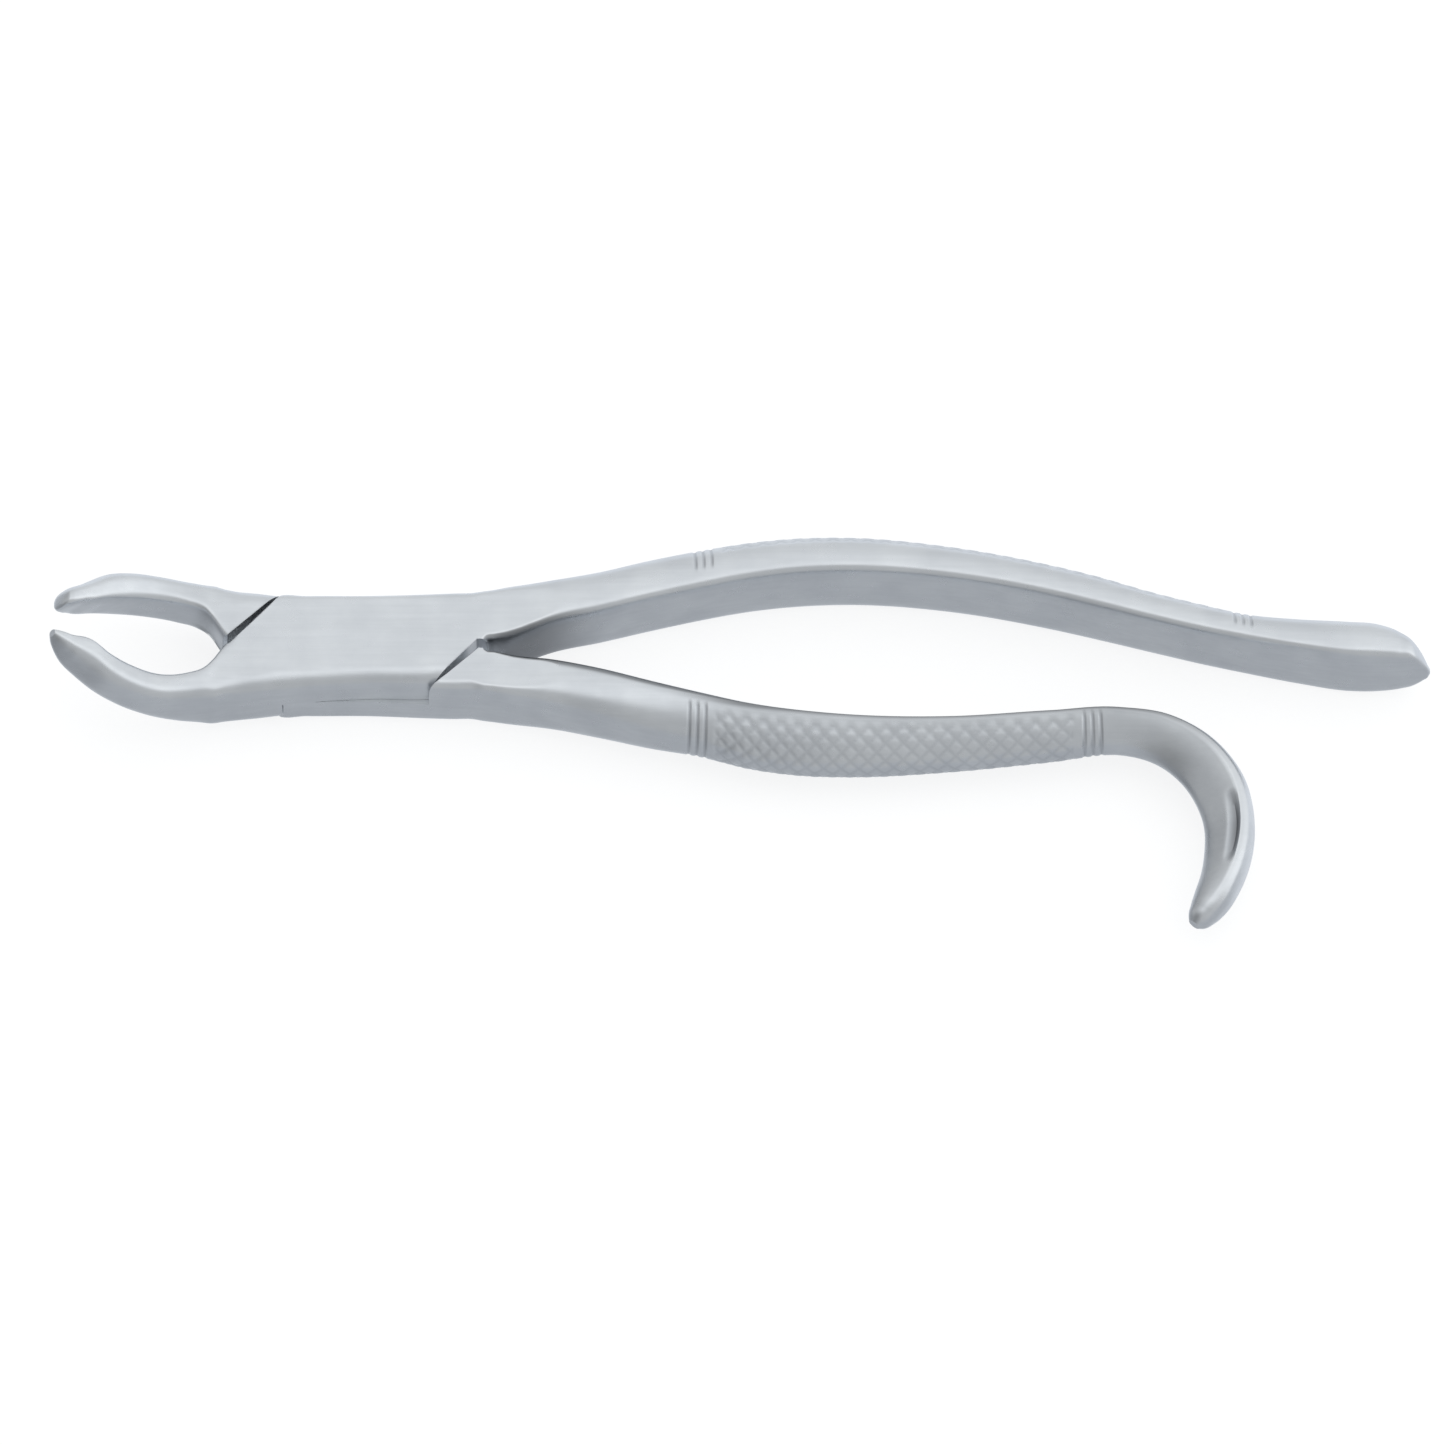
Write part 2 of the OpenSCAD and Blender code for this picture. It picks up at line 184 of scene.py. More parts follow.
# ---------------------------------------------------------------- cross-sections of a half
def section(x, low, high, z, b, flat, lean, n_low, n_high, share, skew=0, relief=0, taper=0):
    """One cross-section across the half at x, from y = low to y = high.

    z is its height and b its half depth, cut off at flat. lean tilts it, n_low and n_high say how
    square its two sides are, share is the part of the width on the low side, skew and relief
    raise it towards the high side, and taper thins it there. The row holds the distance along
    the half, the two ends of the section, x and y each, and then the rest in that order.
    """
    return [x, x, low, x, high, z, b, flat, lean, n_low, n_high, share, skew, relief, taper]


def beak(x, mid, half, z, b, lean, skew, relief, n_out, n_in):
    """A cross-section of a beak, given by its middle and its half width."""
    return section(x, mid - half, mid + half, z, b, NO_FLAT, lean, n_out, n_in, 0.5, skew, relief)


def plate(x, low, high, n_low, n_high, relief=0, share=0.5):
    """A cross-section of the plate in the joint, with a flat front and back."""
    return section(x, low, high, 0, PLATE_B, HALF_DEPTH, 0, n_low, n_high, share, 0, relief)


def grip(x, low, high, b, n_low, n_high, share, taper=0):
    """A cross-section of a handle."""
    return section(x, low, high, 0, b, NO_FLAT, 0, n_low, n_high, share, 0, 0, taper)


POINTED_TIP = [
    beak(-39.1, -0.95, 0.45, 10.95, 0.6, 38, 0, 0, 2.2, 2.2),
    beak(-38.8, -1.25, 0.7, 10.6, 1.05, 38, 0, 0, 2.3, 2.6),
    beak(-38.2, -1.75, 1, 10, 1.6, 37, 0.06, 0, 2.5, 3.2),
    beak(-37.6, -2.15, 1.2, 9.4, 2, 37, 0.04, 0, 2.5, 3.6),
    beak(-37.1, -2.4, 1.4, 8.95, 2.3, 36, 0.02, 0, 2.5, 4),
    beak(-36.5, -2.6, 1.65, 8.5, 2.55, 36, 0, 0, 2.5, 4.2),
    beak(-35.5, -3.05, 1.95, 7.85, 2.8, 34, 0, 0, 2.4, 4.2),
]

BLUNT_TIP = [
    beak(-38.15, -1.3, 0.6, 10.2, 0.9, 38, 0, 0, 2.2, 2.2),
    beak(-38, -1.4, 1, 10.05, 1.5, 38, 0, 0, 2.3, 2.4),
    beak(-37.7, -1.65, 1.3, 9.75, 1.95, 37, 0.04, 0, 2.4, 2.8),
    beak(-37.2, -2, 1.45, 9.3, 2.25, 37, 0.04, 0, 2.5, 3.4),
    beak(-36.7, -2.35, 1.5, 8.8, 2.5, 36, 0.02, 0, 2.5, 3.8),
    beak(-36.2, -2.7, 1.55, 8.4, 2.65, 36, 0, 0, 2.5, 4),
    beak(-35.5, -3.15, 1.75, 7.85, 2.8, 34, 0, 0, 2.4, 4.2),
]

BEAK = [
    beak(-33, -4.62, 2.12, 6.35, 3, 31, -0.1, 0, 2.3, 4),
    beak(-30.3, -5.62, 2.17, 4.75, 3.1, 27, -0.12, 0, 2.3, 4),
    beak(-26.5, -6.25, 2.1, 2.85, 3.3, 21, -0.04, 0.4, 2.4, 4),
    beak(-22.6, -6.02, 2.17, 1.5, 3.85, 13, 0.1, 1.8, 2.7, 4.4),
    beak(-20, -5.44, 2.49, 0.85, 4.3, 8, 0.1, 3.4, 3.1, 5),
    beak(-18.6, -4.78, 3.08, 0.45, 4.5, 4, 0.05, 4.6, 3.6, 6),
    section(-17.3, -7.45, -0.1, 0.15, 4.72, 4.9, 1.5, 4.2, 7, 0.5, 0, 4),
]

JOINT = [
    section(-15.5, -7.3, 1.8, 0, 4.82, HALF_DEPTH, 0, 4, 8, 0.5, 0, 2),
    plate(-13, -7.1, 4.4, 4.2, 9, 1),
    plate(-10, -6.85, 7, 4.4, 9),
    plate(-6, -6.55, 6.95, 4.8, 9),
    plate(2, -6.4, 6.65, 4.8, 9),
]

STRAIGHT = [
    plate(10, -6.6, 6.65, 4.6, 8),
    plate(13, -6.1, 6.75, 4.8, 7),
    plate(15.5, -2.9, 6.85, 6, 5.5, 0, 0.48),
    plate(16.7, -0.85, 6.97, 7, 5.2, 0, 0.47),
    plate(18, -0.6, 7.17, 6.5, 4.9, 0, 0.46),
    section(20, -0.35, 7.57, 0, 5.05, HALF_DEPTH + 0.02, 0, 5.4, 4.5, 0.45),
    section(22.7, 0.5, 8.02, 0, 5.08, HALF_DEPTH + 0.1, 0, 5, 4, 0.42),
    section(25.4, 1.45, 8.5, 0, 5.1, 5, 0, 4.8, 3.6, 0.4),
    grip(31.8, 2.75, 9.7, 5.15, 4.6, 3, 0.36),
    grip(38.4, 4.25, 11.3, 5.2, 4.6, 2.7, 0.33),
    grip(44.9, 5.47, 12.6, 5.2, 4, 2.5, 0.32),
    grip(51.4, 6.57, 13.55, 5.3, 4, 2.4, 0.32),
    grip(57.8, 7.12, 14, 5.4, 4, 2.3, 0.32),
    grip(64.3, 7.12, 13.85, 5.4, 4, 2.3, 0.32),
    grip(77.2, 5.62, 12, 5.4, 4, 2.3, 0.32),
    grip(90, 2.62, 8.85, 5.4, 4, 2.3, 0.32),
    grip(96.3, 0.72, 6.9, 5.3, 4, 2.3, 0.32),
    grip(102.7, -1.28, 4.5, 5.2, 4, 2.3, 0.32),
    grip(109.1, -3.23, 2.4, 5.2, 4, 2.3, 0.32),
    grip(115.5, -4.93, 0.4, 5.3, 4, 2.4, 0.32),
    grip(121.9, -6.4, -0.6, 5.5, 5, 2.5, 0.33),
    grip(128.3, -7.8, -1.25, 5.6, 4.5, 2.6, 0.36),
    grip(132.2, -8.15, -1.75, 5.4, 4, 2.6, 0.38),
    grip(134.8, -8.15, -2.75, 4.9, 3.6, 2.4, 0.4),
    grip(136.6, -8.05, -4.1, 4.1, 3.2, 2.2, 0.42),
    grip(137.8, -8.1, -5.7, 2.3, 2.8, 2, 0.48),
    grip(138.4, -8, -7, 1.2, 2.4, 2, 0.5),
    grip(138.65, -7.75, -7.35, 0.5, 2, 2, 0.5),
]

HOOKED = [
    plate(10, -6.6, 6.75, 4.6, 8),
    plate(13, -6.1, 6.8, 4.8, 7),
    plate(15.5, -2.2, 6.8, 6, 5.5, 0, 0.48),
    plate(16.7, 0.45, 6.93, 7, 5.2, 0, 0.47),
    plate(18, 0.72, 7.1, 6.5, 4.9, 0, 0.46),
    section(20, 0.95, 7.45, 0, 5.05, HALF_DEPTH + 0.02, 0, 4.8, 4.2, 0.45),
    section(25.4, 1.35, 8.25, 0, 5.1, 5, 0, 4.2, 3.2, 0.4),
    grip(31.8, 2.4, 9.6, 5.15, 3.8, 2.8, 0.36, 0.04),
    grip(38.4, 3.95, 11.15, 5.2, 3.4, 2.6, 0.32, 0.14),
    grip(44.9, 5.45, 12.35, 5.2, 3, 2.6, 0.26, 0.28),
    grip(51.4, 6.9, 14.1, 5.3, 2.6, 2.6, 0.18, 0.4),
    grip(57.8, 7.9, 14.85, 5.4, 2.4, 2.6, 0.12, 0.42),
    grip(64.3, 8.35, 14.85, 5.3, 2.4, 2.6, 0.1, 0.42),
    grip(77.2, 7.95, 13.65, 4.9, 2.4, 2.6, 0.1, 0.42),
    grip(90, 6.4, 11.75, 4.6, 2.4, 2.6, 0.12, 0.42),
]


def bend_length(angle):
    """Distance along the half where the hook's centre line has turned to this angle."""
    main = HOOK_R * (min(angle, BEND_END) - HOOK_LEAD)
    last = HOOK_TIP_R * max(0, angle - BEND_END)
    return HOOK_START + math.radians(main + last)


def hook_section(angle, half, b, n, share, taper):
    """A cross-section square to the hook's centre line: a quarter turn, then a flatter arc."""
    def unit(a):
        return np.array([math.sin(math.radians(a)), -math.cos(math.radians(a))])

    main, last = min(angle, BEND_END), max(angle, BEND_END)
    middle = np.array([HOOK_START, HOOK_Y])
    middle = middle + HOOK_R * (unit(main) - unit(HOOK_LEAD))
    middle = middle + HOOK_TIP_R * (unit(last) - unit(BEND_END))
    side = np.array([-math.sin(math.radians(angle)), math.cos(math.radians(angle))]) * half
    low, high = middle - side, middle + side
    return [bend_length(angle), *low, *high, 0, b, NO_FLAT, 0, n, n, share, 0, 0, taper]


def tip_section(part, half, b, n, share, taper):
    """The same on the last bend, at a part of its turn."""
    return hook_section(BEND_END + part * HOOK_TIP_TURN, half, b, n, share, taper)


HOOK = [
    hook_section(HOOK_LEAD, 2.42, 4.5, 2.5, 0.16, 0.42),
    hook_section(20, 2.85, 4.4, 2.5, 0.2, 0.45),
    hook_section(42, 3.3, 4.3, 2.5, 0.25, 0.5),
    hook_section(64, 3.5, 4.1, 2.5, 0.28, 0.5),
    hook_section(BEND_END, 3.25, 3.7, 2.4, 0.29, 0.5),
    tip_section(0.21, 3.1, 3.5, 2.4, 0.3, 0.45),
    tip_section(0.5, 2.72, 3.2, 2.4, 0.33, 0.35),
    tip_section(0.73, 2.35, 2.7, 2.4, 0.4, 0.2),
    tip_section(0.86, 1.9, 2.2, 2.3, 0.46, 0.1),
    tip_section(0.96, 1.3, 1.4, 2.2, 0.5, 0),
    tip_section(1, 0.8, 0.7, 2, 0.5, 0),
]


def flip(row):
    """The same cross-section for the other beak, which is turned over."""
    *where, z, b, flat, lean, n_low, n_high, share, skew, relief, taper = row
    return [*where, -z, b, flat, -lean, n_low, n_high, share, -skew, -relief, taper]


def sample(rows, s):
    """Cross-sections at the distances s, on a smooth curve through the given ones."""
    rows = np.array(rows, float)
    at = rows[:, 0]
    step = np.diff(at)
    rate = np.diff(rows, axis=0) / step[:, None]
    slope = np.empty_like(rows)
    slope[0], slope[-1] = rate[0], rate[-1]
    weight = step[1:, None] + step[:-1, None]
    slope[1:-1] = (rate[:-1] * step[1:, None] + rate[1:] * step[:-1, None]) / weight
    i = np.clip(np.searchsorted(at, s, side="right") - 1, 0, len(step) - 1)
    d = step[i][:, None]
    u = ((s - at[i]) / step[i])[:, None]
    return (
        rows[i] * (2 * u**3 - 3 * u**2 + 1)
        + slope[i] * d * (u**3 - 2 * u**2 + u)
        + rows[i + 1] * (3 * u**2 - 2 * u**3)
        + slope[i + 1] * d * (u**3 - u**2)
    )


def smooth(x, low, high):
    """0 below low, 1 above high, and a soft step between."""
    u = np.clip((np.asarray(x, float) - low) / (high - low), 0, 1)
    return u * u * (3 - 2 * u)


def corner_angles(n):
    """Angles of one eighth of a superellipse, from the middle of a side to its corner."""
    t = np.arange(SIDE_STEPS) / SIDE_STEPS
    v = 0.5 * t + 0.5 * np.sin(t * math.pi / 2)
    return np.arctan(v ** (n / 2))


def ring_angles(n_low, n_high):
    """Angles round a cross-section, closest together at its rounded corners."""
    turns = []
    for quarter, n in enumerate((n_high, n_low, n_low, n_high)):
        rise = corner_angles(n)
        last = np.append(rise[1:], math.pi / 4)
        fall = math.pi / 2 - last[::-1]
        turns.append(np.concatenate([rise, fall]) + quarter * math.pi / 2)
    return np.concatenate(turns)


def surface(row):
    """Points of one cross-section, and how far each lies towards the palm side, from 0 to 1."""
    x0, y0, x1, y1, z, b, flat, lean, n_low, n_high, share, skew, relief, taper = row[1:]
    angles = ring_angles(n_low, n_high)
    span = np.array([x1 - x0, y1 - y0])
    wide = np.linalg.norm(span)
    side = span / wide
    base = np.array([x0, y0]) + span * share
    c, s = np.cos(angles), np.sin(angles)
    n = np.where(c < 0, n_low, n_high)
    across = np.where(c < 0, -share, 1 - share) * wide * np.abs(c) ** (2 / n)
    inner = np.maximum(0, across) / (wide * (1 - share))
    deep = np.sign(s) * np.minimum(b * np.abs(s) ** (2 / n) * (1 - taper * inner), flat)
    lift = relief * inner * np.maximum(0, -np.sign(relief) * deep) / b
    tilt = math.radians(lean)
    x = base[0] + side[0] * across + side[1] * deep * math.sin(tilt)
    y = base[1] + side[1] * across - side[0] * deep * math.sin(tilt)
    return np.stack([x, y, z + deep * math.cos(tilt) + skew * across + lift], 1), inner


def loft(rows, places):
    """The smooth surface as a grid of points, how far each lies towards the palm side, and its
    distance round its cross-section."""
    rings = [surface(row) for row in sample(rows, places)]
    grid = np.array([points for points, inner in rings])
    palm = np.array([inner for points, inner in rings])
    gap = np.linalg.norm(np.roll(grid, -1, 1) - grid, axis=2)
    around = np.concatenate([np.zeros((len(grid), 1)), np.cumsum(gap, 1)[:, :-1]], 1)
    whole = gap.sum(1, keepdims=True)
    return grid, palm, np.where(around > whole / 2, around - whole, around)


def outward(grid):
    """Unit normals of a grid of points that closes round its second axis."""
    along = np.gradient(grid, axis=0)
    across = np.roll(grid, -1, 1) - np.roll(grid, 1, 1)
    normal = np.cross(across, along)
    return normal / np.maximum(np.linalg.norm(normal, axis=2, keepdims=True), 1e-9)


# ---------------------------------------------------------------- worked detail on the surface
def band(start):
    """Positions of the three grooves of a band."""
    return [start + (k + GROOVE_FIRST) * GROOVE_PITCH for k in range(GROOVE_COUNT)]


def grooves(s, palm, starts):
    """Depth of the transverse grooves, which run over the palm side."""
    depth = np.zeros_like(palm)
    for middle in [m for start in starts for m in band(start)]:
        profile = np.clip(1 - np.abs(s - middle) / GROOVE_HALF_WIDTH, 0, 1)
        depth = np.maximum(depth, smooth(profile, 0, 1)[:, None] * smooth(palm, *GROOVE_PALM))
    return GROOVE_DEPTH * depth


def knurl(s, around, palm, first, last, edge):
    """Depth of the two crossing sets of V grooves on the palm side, from first to last."""
    depth = np.zeros_like(palm)
    for hand in (1, -1):
        lane = (s[:, None] + hand * around) / ROOT2 / KNURL_PITCH
        away = np.abs(lane - np.floor(lane) - 0.5) * KNURL_PITCH
        depth = np.maximum(depth, np.clip(1 - away / (KNURL_WIDTH / 2), 0, 1))
    ends = smooth(s, first, first + KNURL_FADE) * (1 - smooth(s, last - KNURL_FADE, last))
    return KNURL_DEPTH * depth * ends[:, None] * smooth(palm, edge, edge + KNURL_PALM_FADE)


def crescent(s, palm, z):
    """Depth of the hollow beside the rim of the hook. Its front is below z = -1 as drawn."""
    along = np.clip(1 - ((s - CRESCENT_AT) / CRESCENT_REACH) ** 2, 0, 1)[:, None]
    across = smooth(1 - np.abs(palm - CRESCENT_PALM) / CRESCENT_PALM_REACH, 0, 1)
    return CRESCENT_DEPTH * along * across * (z < -1)


def hook_shade(s, palm, inward):
    """Painted shade on the hooked handle: a rim along its inner edge, less on the flat inner side.
    """
    rim = (1 - smooth(palm, *RIM_PALM)) * smooth(s, *RIM_START)[:, None]
    edge = np.maximum(smooth(inward, *INNER_EDGE), rim)
    return edge * (1 - FLAT_SIDE_LESS * smooth(inward, *FLAT_SIDE))


def worn_edges(grid, normal):
    """Edges lighter from wear and a painted highlight, from the curvature round the cross-section.
    """
    turn = np.linalg.norm(np.roll(normal, -1, 1) - np.roll(normal, 1, 1), axis=2)
    step = np.linalg.norm(np.roll(grid, -1, 1) - np.roll(grid, 1, 1), axis=2)
    return smooth(turn / np.maximum(step, SHORTEST), *WEAR_AND_HIGHLIGHT_CURVES)


def spread(*stops):
    """Places from stop to stop: (position, step, position, step, ..., position)."""
    places = []
    for a, step, b in zip(stops[0::2], stops[1::2], stops[2::2]):
        places.append(np.linspace(a, b, max(2, round((b - a) / step)), endpoint=False))
    return np.append(np.concatenate(places), stops[-1])


def around_band(start):
    """Closely spaced stops for spread, over a band of grooves."""
    return start - BAND_BEFORE, BAND_STEP, start + BAND_AFTER


# ---------------------------------------------------------------- meshes
def tube(name, grid, **fields):
    """A closed mesh from a grid of rings, with a fan of faces at each end.

    fields are numbers for the material: one array each, with a value for each grid point.
    """
    rings, count = grid.shape[:2]
    points = np.concatenate([grid.reshape(-1, 3), [grid[0].mean(0), grid[-1].mean(0)]])
    i, j = np.meshgrid(np.arange(rings - 1), np.arange(count), indexing="ij")
    a = i * count + j
    b = i * count + (j + 1) % count
    quads = np.stack([a, b, b + count, a + count], 2).reshape(-1, 4)
    faces = quads.tolist()
    first, last = rings * count, rings * count + 1
    top = (rings - 1) * count
    faces += [[first, (k + 1) % count, k] for k in range(count)]
    faces += [[last, top + k, top + (k + 1) % count] for k in range(count)]
    mesh = bpy.data.meshes.new(name)
    mesh.from_pydata(points.tolist(), [], faces)
    for label, values in fields.items():
        values = np.concatenate([values.ravel(), [0, 0]])
        attribute = mesh.attributes.new(label, "FLOAT", "POINT")
        attribute.data.foreach_set("value", values.astype(np.float32))
    mesh.update()
    return add(name, mesh)


def add(name, mesh):
    """A new object in the scene with this mesh."""
    piece = bpy.data.objects.new(name, mesh)
    bpy.context.scene.collection.objects.link(piece)
    return piece


def prism(levels):
    """A closed cutter through polygons of the same number of points, one above the other."""
    grid = np.array([[(x, y, z) for x, y in polygon] for z, polygon in levels], float)
    return tube("cutter", grid)


def ring(angles, radius, z):
    """Points of one ring of a turned part. The radius can differ from point to point."""
    height = np.full(len(angles), z)
    return np.stack([radius * np.cos(angles), radius * np.sin(angles), height], 1)


def round_angles():
    """Angles of the points of one ring."""
    return np.arange(ROUND_STEPS) * 2 * math.pi / ROUND_STEPS


def round_cutter(profile):
    """A turned cutter: profile is a list of (radius, z) from the bottom to the top."""
    return tube("cutter", np.array([ring(round_angles(), r, z) for r, z in profile]))


def cut(piece, *cutters):
    """Takes the cutters out of the piece, one after the other."""
    for cutter in cutters:
        step = piece.modifiers.new("cut", "BOOLEAN")
        step.operation = "DIFFERENCE"
        step.solver = "EXACT"
        step.object = cutter
        settle(piece)
        bpy.data.objects.remove(cutter)


def settle(piece):
    """Makes the piece's modifiers part of its mesh."""
    graph = bpy.context.evaluated_depsgraph_get()
    shown = piece.evaluated_get(graph)
    mesh = bpy.data.meshes.new_from_object(shown, preserve_all_data_layers=True, depsgraph=graph)
    piece.modifiers.clear()
    piece.data = mesh


def turned(cutter, degrees):
    """The cutter, turned about the pivot axis."""
    cutter.data.transform(Matrix.Rotation(math.radians(degrees), 4, "Z"))
    return cutter


# ---------------------------------------------------------------- cuts at the joint
def lap_cutter():
    """The space of the other half's plate, behind, with a chamfer at its rear edges."""
    r, c, far = SHOULDER_REACH, EDGE_CHAMFER, CUT_FLARE
    profile = [
        (-r, LAP_GAP / 2), (-r, c - HALF_DEPTH), (-r - c - far, -HALF_DEPTH - far),
        (r + c + far, -HALF_DEPTH - far), (r, c - HALF_DEPTH), (r, LAP_GAP / 2),
    ]
    grid = np.array([[(x, y, z) for x, z in profile] for y in (-BEYOND, BEYOND)], float)
    return turned(tube("cutter", grid[:, ::-1]), 45)


def plate_edge_cutter(turn, part_y):
    """What the other half's shoulder takes off the plate's corner, with a chamfer in front.

    On the side of the middle line the cut ends at y = part_y, where the two halves part.
    """
    edge = (SHOULDER_REACH - SHOULDER_GAP) * ROOT2
    apex = min(edge + part_y, SHOULDER_REACH * ROOT2 - part_y)
    levels = []
    for z, back in (
        (-BEYOND, 0),
        (HALF_DEPTH - EDGE_CHAMFER, 0),
        (HALF_DEPTH + CUT_ABOVE, (CUT_ABOVE + EDGE_CHAMFER) * ROOT2),
    ):
        e = edge - back
        levels.append((z, [
            (apex, part_y), (apex, min(apex - e, part_y - LAP_GAP)), (e - BEYOND, -BEYOND),
            (edge + CUT_MARGIN, -BEYOND), (edge + CUT_MARGIN, part_y),
        ]))
    return turned(prism(levels), turn)


def joint_cutters(part_y):
    """All that the other half takes out of this one."""
    return [lap_cutter(), plate_edge_cutter(0, part_y), plate_edge_cutter(180, BEAK_PART)]


# ---------------------------------------------------------------- the two halves
def half_piece(name, rows, places, bands, knurl_edge, part_y, painted_shade_end, hooked=False):
    """One forging: the loft, its grooves and knurling, and the cuts at the joint.

    bands are the starts of its two bands of grooves, and knurl_edge is where the knurling between
    them begins on the palm side. The handles part at y = part_y, and painted_shade_end is where
    the painted shade on the inner side fades out.
    """
    s = spread(*places)
    grid, palm, around = loft(rows, s)
    normal = outward(grid)
    first, last = band(bands[0])[-1] + GROOVE_PITCH, band(bands[1])[0] - GROOVE_PITCH
    depth = np.maximum(grooves(s, palm, bands), knurl(s, around, palm, first, last, knurl_edge))
    depth = depth * (s > HANDLE_START)[:, None]
    # Painted shade: the inner sides near the joint, and a rim along the hooked handle's inner
    # edge, are darkened.
    inward = -normal[:, :, 1]
    shade = hook_shade(s, palm, inward) if hooked else smooth(inward, *INNER_SIDE)
    shade = shade * (smooth(s, *PAINTED_SHADE_START) * (1 - smooth(s, *painted_shade_end)))[:, None]
    if hooked:
        hollow = crescent(s, palm, grid[:, :, 2])
        # The hollow beside the hook's rim gets painted shade too.
        shade = np.maximum(shade, hollow / CRESCENT_DEPTH)
        depth = np.maximum(depth, hollow)
    piece = tube(
        name,
        grid - normal * depth[:, :, None],
        cavity=np.minimum(depth / GROOVE_DEPTH, 1),
        # Edges lighter from wear and a painted highlight.
        worn=worn_edges(grid, normal),
        shade=shade,
    )
    cut(piece, *joint_cutters(part_y))
    return piece


def place(piece, turn, over):
    """From the half's own frame in millimetres to the shared frame in metres."""
    flat = Matrix.Rotation(math.pi if over else 0, 4, "X")
    spin = Matrix.Rotation(math.radians(turn), 4, "Z")
    lift = Matrix.Translation((0, 0, HALF_DEPTH))
    piece.data.transform(Matrix.Scale(MM, 4) @ lift @ spin @ flat)


# Stops for spread, from behind a beak's tip to the start of the handle.
BEAK_STOPS = (-36.5, 0.3, -20, 0.25, -10, 0.5, 10, 0.3, HANDLE_START)


def grip_stops(bands):
    """Stops for spread, from the first band of grooves to the end of the second one."""
    return (*around_band(bands[0]), GRIP_STEP, *around_band(bands[1]))


def straight_half():
    """The half with the straight handle and the screw's threaded hole, its plate in front."""
    rows = POINTED_TIP + BEAK + JOINT + STRAIGHT
    places = (POINTED_END, END_STEP, *BEAK_STOPS, HANDLE_STEP, *grip_stops(STRAIGHT_BANDS),
              HANDLE_STEP, STRAIGHT_NARROWS, 0.12, STRAIGHT_END)
    piece = half_piece("straight_half_forging", rows, places, STRAIGHT_BANDS, STRAIGHT_KNURL,
                       STRAIGHT_PART, STRAIGHT_PAINTED_SHADE_END)
    mouth, hole = THREAD_R + HOLE_CHAMFER, THREAD_R + HOLE_GAP
    cut(piece, round_cutter([
        (mouth, -1), (mouth, HOLE_MOUTH), (hole, HOLE_CHAMFER), (hole, HOLE_DEPTH),
    ]))
    place(piece, REST_ANGLE, False)
    return piece


def hook_half():
    """The half with the hooked handle and the screw's bore and counterbore, turned over."""
    end = bend_length(BEND_END + HOOK_TIP_TURN)
    rows = [flip(row) for row in BLUNT_TIP + BEAK + JOINT] + HOOKED + HOOK
    places = (BLUNT_END, END_STEP, *BEAK_STOPS, HANDLE_STEP, *grip_stops(HOOK_BANDS),
              HOOK_STEP, end - 2.2, END_STEP, end)
    piece = half_piece("hook_half_forging", rows, places, HOOK_BANDS, HOOK_KNURL,
                       HOOK_PART, HOOK_PAINTED_SHADE_END, hooked=True)
    under = HALF_DEPTH - HEAD_RECESS - HEAD_H
    bore, seat = SHANK_R + RUNNING_GAP, HEAD_R + RUNNING_GAP
    cut(piece, round_cutter([
        (bore + BORE_CHAMFER + 1, -1), (bore, BORE_CHAMFER), (bore, under), (seat, under),
        (seat, HALF_DEPTH - SEAT_CHAMFER), (seat + SEAT_CHAMFER + 1, HALF_DEPTH + 1),
    ]))
    place(piece, -REST_ANGLE, True)
    return piece


# ---------------------------------------------------------------- pivot screw
def screw_slot():
    """The cutter of the driver slot, with chamfered edges, across the head."""
    wide, c = SLOT_HALF + SLOT_CHAMFER + 1, HEAD_RECESS + SLOT_CHAMFER
    deep, low = HEAD_RECESS + SLOT_DEPTH, HEAD_RECESS - 1
    outline = [
        (-wide, low), (-SLOT_HALF, c), (-SLOT_HALF, deep),
        (SLOT_HALF, deep), (SLOT_HALF, c), (wide, low),
    ]
    grid = np.array([[(x, y, z) for y, z in outline] for x in (-5.0, 5.0)])
    return turned(tube("cutter", grid[:, ::-1]), SLOT_ANGLE)


def pivot_screw():
    """Slotted shoulder screw, head at the rear: head, smooth shank, threaded end."""
    angles = round_angles()
    head_top = HEAD_RECESS + HEAD_H - HEAD_LIFT
    shank_top = HALF_DEPTH + LAP_GAP / 2
    root_r = THREAD_R - THREAD_DEPTH
    profile = [
        (HEAD_R - 0.35, HEAD_RECESS), (HEAD_R - 0.12, HEAD_RECESS + 0.06),
        (HEAD_R, HEAD_RECESS + 0.2), (HEAD_R, head_top), (SHANK_R, head_top),
        (SHANK_R, shank_top - 0.15), (SHANK_R - 0.15, shank_top), (root_r, shank_top),
    ]
    rings = [ring(angles, r, z) for r, z in profile]
    top = shank_top + THREAD_LENGTH
    for z in np.arange(shank_top + 0.1, top - 0.05, THREAD_PITCH / THREAD_STEPS):
        wave = 1 - np.abs(2 * ((z / THREAD_PITCH - angles / (2 * math.pi)) % 1) - 1)
        fade = smooth(z, shank_top + 0.1, shank_top + 0.5) * (1 - smooth(z, top - 0.6, top))
        crest = (THREAD_DEPTH - 0.02) * np.clip(wave * 1.25, 0, 1) * float(fade)
        rings.append(ring(angles, root_r + crest, z))
    rings.append(ring(angles, THREAD_END_R, top))
    piece = tube("pivot_screw_turned", np.array(rings))
    cut(piece, screw_slot())
    piece.data.transform(Matrix.Scale(MM, 4))
    return piece


